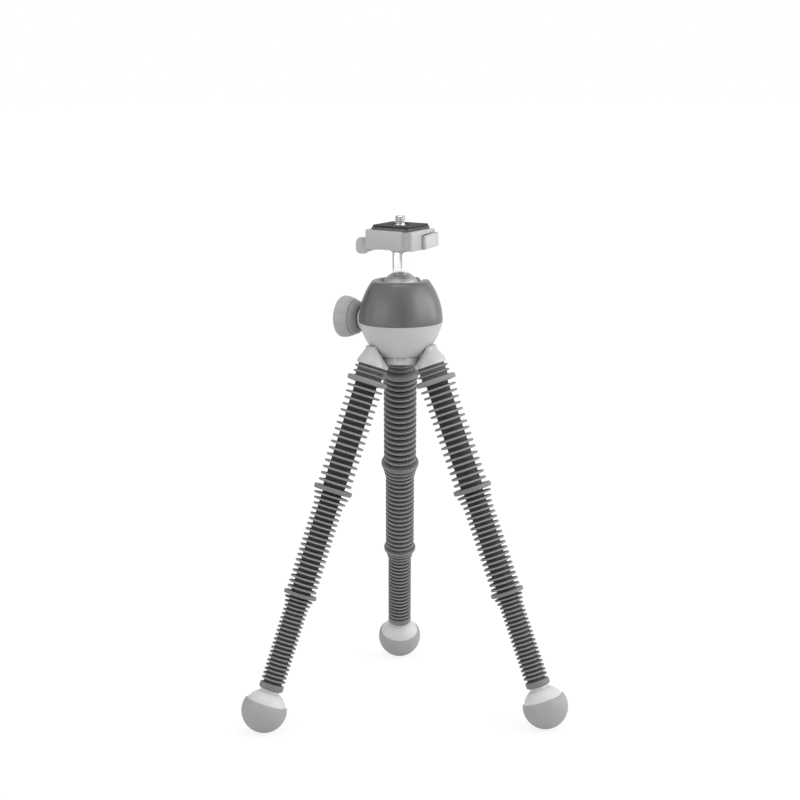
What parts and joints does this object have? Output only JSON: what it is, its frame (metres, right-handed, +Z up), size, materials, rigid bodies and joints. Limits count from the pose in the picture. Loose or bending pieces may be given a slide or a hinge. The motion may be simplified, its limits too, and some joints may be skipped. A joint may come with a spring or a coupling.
{
  "type": "flexible leg tripod",
  "caption": "Table tripod with ribbed bendable legs, round rubber feet, and a lockable ball head with a quick-release camera clamp.",
  "frame": {"origin": "middle of the footprint on the surface the feet stand on", "axes": "+Z up, +Y towards the rear leg; the head axis stands over the middle of the three feet"},
  "size_m": [0.1934, 0.1712, 0.3005],
  "materials": {
    "light_plastic": "satin moulded",
    "dark_plastic": "satin moulded",
    "collar_plastic": "satin moulded",
    "pale_plastic": "satin moulded",
    "black_acetal": "smooth",
    "ball_coat": "bead blasted anodised",
    "steel": "turned",
    "brass": "machined",
    "plate_metal": "dark anodised",
    "core_wire": "drawn",
    "leg_rubber": "matt moulded",
    "pad_rubber": "matt moulded",
    "foot_rubber": "matt moulded"
  },
  "bodies": {
    "root": {"crown": "light_plastic", "crown_screw": "steel", "hub_plug": "light_plastic", "housing_bowl": "light_plastic", "housing_dome": "dark_plastic", "housing_screws": "steel", "ball_seat_ring": "black_acetal", "pressure_pad": "black_acetal", "knob_bush": "brass", "thrust_washer": "black_acetal", "rear_upper_jacket": "leg_rubber", "rear_upper_core": "core_wire", "left_upper_jacket": "leg_rubber", "left_upper_core": "core_wire", "right_upper_jacket": "leg_rubber", "right_upper_core": "core_wire"},
    "ball_liner": {"ball_liner": "black_acetal"},
    "ball": {"head_ball": "ball_coat", "ball_stem": "steel", "clamp_screw": "steel"},
    "clamp": {"clamp_body": "light_plastic", "button_springs": "steel"},
    "clamp_lever": {"clamp_lever": "light_plastic", "lever_cam_pin": "steel"},
    "release_button": {"release_button": "light_plastic"},
    "plate": {"quick_release_plate": "plate_metal", "plate_pad": "pad_rubber"},
    "camera_screw": {"camera_screw": "steel", "camera_screw_ring": "steel"},
    "lock_knob": {"lock_knob": "light_plastic", "knob_screw": "steel", "knob_screw_ring": "steel"},
    "lock_wedge": {"lock_wedge": "brass"},
    "rear_leg_upper": {"rear_upper_coupler": "collar_plastic", "rear_middle_jacket": "leg_rubber", "rear_middle_core": "core_wire"},
    "rear_leg_middle": {"rear_lower_coupler": "collar_plastic", "rear_lower_jacket": "leg_rubber", "rear_lower_core": "core_wire"},
    "rear_leg_lower": {"rear_ferrule": "collar_plastic", "rear_foot_ball": "pale_plastic", "rear_foot_cap": "foot_rubber"},
    "left_leg_upper": {"left_upper_coupler": "collar_plastic", "left_middle_jacket": "leg_rubber", "left_middle_core": "core_wire"},
    "left_leg_middle": {"left_lower_coupler": "collar_plastic", "left_lower_jacket": "leg_rubber", "left_lower_core": "core_wire"},
    "left_leg_lower": {"left_ferrule": "collar_plastic", "left_foot_ball": "pale_plastic", "left_foot_cap": "foot_rubber"},
    "right_leg_upper": {"right_upper_coupler": "collar_plastic", "right_middle_jacket": "leg_rubber", "right_middle_core": "core_wire"},
    "right_leg_middle": {"right_lower_coupler": "collar_plastic", "right_lower_jacket": "leg_rubber", "right_lower_core": "core_wire"},
    "right_leg_lower": {"right_ferrule": "collar_plastic", "right_foot_ball": "pale_plastic", "right_foot_cap": "foot_rubber"}
  },
  "joints": [
    {"name": "ball_side_tilt", "type": "hinge", "parent": "root", "child": "ball_liner", "pos_m": [0, -0.02403, 0.25589], "axis": [-0.866, -0.5, 0], "range_deg": [-28, 28]},
    {"name": "ball_tilt", "type": "hinge", "parent": "ball_liner", "child": "ball", "pos_m": [0, -0.02403, 0.25589], "axis": [-0.5, 0.866, 0], "range_deg": [-32, 90]},
    {"name": "head_pan", "type": "hinge", "parent": "ball", "child": "clamp", "pos_m": [0, -0.02403, 0.28129], "axis": [0, 0, 1], "continuous": true},
    {"name": "clamp_lever_swing", "type": "hinge", "parent": "clamp", "child": "clamp_lever", "pos_m": [-0.01286, -0.01869, 0.28129], "axis": [0, 0, -1], "range_deg": [0, 70]},
    {"name": "release_button_press", "type": "slide", "parent": "clamp", "child": "release_button", "axis": [-0.8192, 0.5736, 0], "range_m": [0, 0.0015], "stiffness_N_per_m": 700, "springref_m": -0.002, "deforming": ["button_springs"]},
    {"name": "plate_slide", "type": "slide", "parent": "clamp", "child": "plate", "axis": [0.5736, 0.8192, 0], "range_m": [0, 0.022]},
    {"name": "camera_screw_turn", "type": "hinge", "parent": "plate", "child": "camera_screw", "pos_m": [0, -0.02403, 0.29409], "axis": [0, 0, 1], "continuous": true},
    {"name": "lock_knob_turn", "type": "hinge", "parent": "root", "child": "lock_knob", "pos_m": [-0.02252, -0.01103, 0.23779], "axis": [-0.866, 0.5, 0], "range_deg": [0, 360]},
    {"name": "lock_wedge_slide", "type": "slide", "parent": "root", "child": "lock_wedge", "axis": [0.866, -0.5, 0], "range_m": [0, 0.0007]},
    {"name": "rear_leg_upper_bend", "type": "hinge", "parent": "root", "child": "rear_leg_upper", "pos_m": [0, 0.01149, 0.17221], "axis": [1, 0, 0], "range_deg": [-18, 65], "deforming": ["rear_upper_jacket", "rear_upper_core"]},
    {"name": "rear_leg_middle_bend", "type": "hinge", "parent": "rear_leg_upper", "child": "rear_leg_middle", "pos_m": [0, 0.03506, 0.11048], "axis": [-1, 0, 0], "range_deg": [-60, 60], "deforming": ["rear_middle_jacket", "rear_middle_core"]},
    {"name": "rear_leg_lower_bend", "type": "hinge", "parent": "rear_leg_middle", "child": "rear_leg_lower", "pos_m": [0, 0.05674, 0.05371], "axis": [1, 0, 0], "range_deg": [-60, 60], "deforming": ["rear_lower_jacket", "rear_lower_core"]},
    {"name": "left_leg_upper_bend", "type": "hinge", "parent": "root", "child": "left_leg_upper", "pos_m": [-0.03076, -0.04179, 0.17221], "axis": [-0.5, 0.866, 0], "range_deg": [-18, 65], "deforming": ["left_upper_jacket", "left_upper_core"]},
    {"name": "left_leg_middle_bend", "type": "hinge", "parent": "left_leg_upper", "child": "left_leg_middle", "pos_m": [-0.05118, -0.05358, 0.11048], "axis": [0.5, -0.866, 0], "range_deg": [-60, 60], "deforming": ["left_middle_jacket", "left_middle_core"]},
    {"name": "left_leg_lower_bend", "type": "hinge", "parent": "left_leg_middle", "child": "left_leg_lower", "pos_m": [-0.06995, -0.06442, 0.05371], "axis": [-0.5, 0.866, 0], "range_deg": [-60, 60], "deforming": ["left_lower_jacket", "left_lower_core"]},
    {"name": "right_leg_upper_bend", "type": "hinge", "parent": "root", "child": "right_leg_upper", "pos_m": [0.03076, -0.04179, 0.17221], "axis": [-0.5, -0.866, 0], "range_deg": [-18, 65], "deforming": ["right_upper_jacket", "right_upper_core"]},
    {"name": "right_leg_middle_bend", "type": "hinge", "parent": "right_leg_upper", "child": "right_leg_middle", "pos_m": [0.05118, -0.05358, 0.11048], "axis": [0.5, 0.866, 0], "range_deg": [-60, 60], "deforming": ["right_middle_jacket", "right_middle_core"]},
    {"name": "right_leg_lower_bend", "type": "hinge", "parent": "right_leg_middle", "child": "right_leg_lower", "pos_m": [0.06995, -0.06442, 0.05371], "axis": [-0.5, -0.866, 0], "range_deg": [-60, 60], "deforming": ["right_lower_jacket", "right_lower_core"]}
  ],
  "couplings": [
    {"joint": "lock_knob_turn", "follows": "lock_wedge_slide", "rad_per_m": 8976}
  ]
}
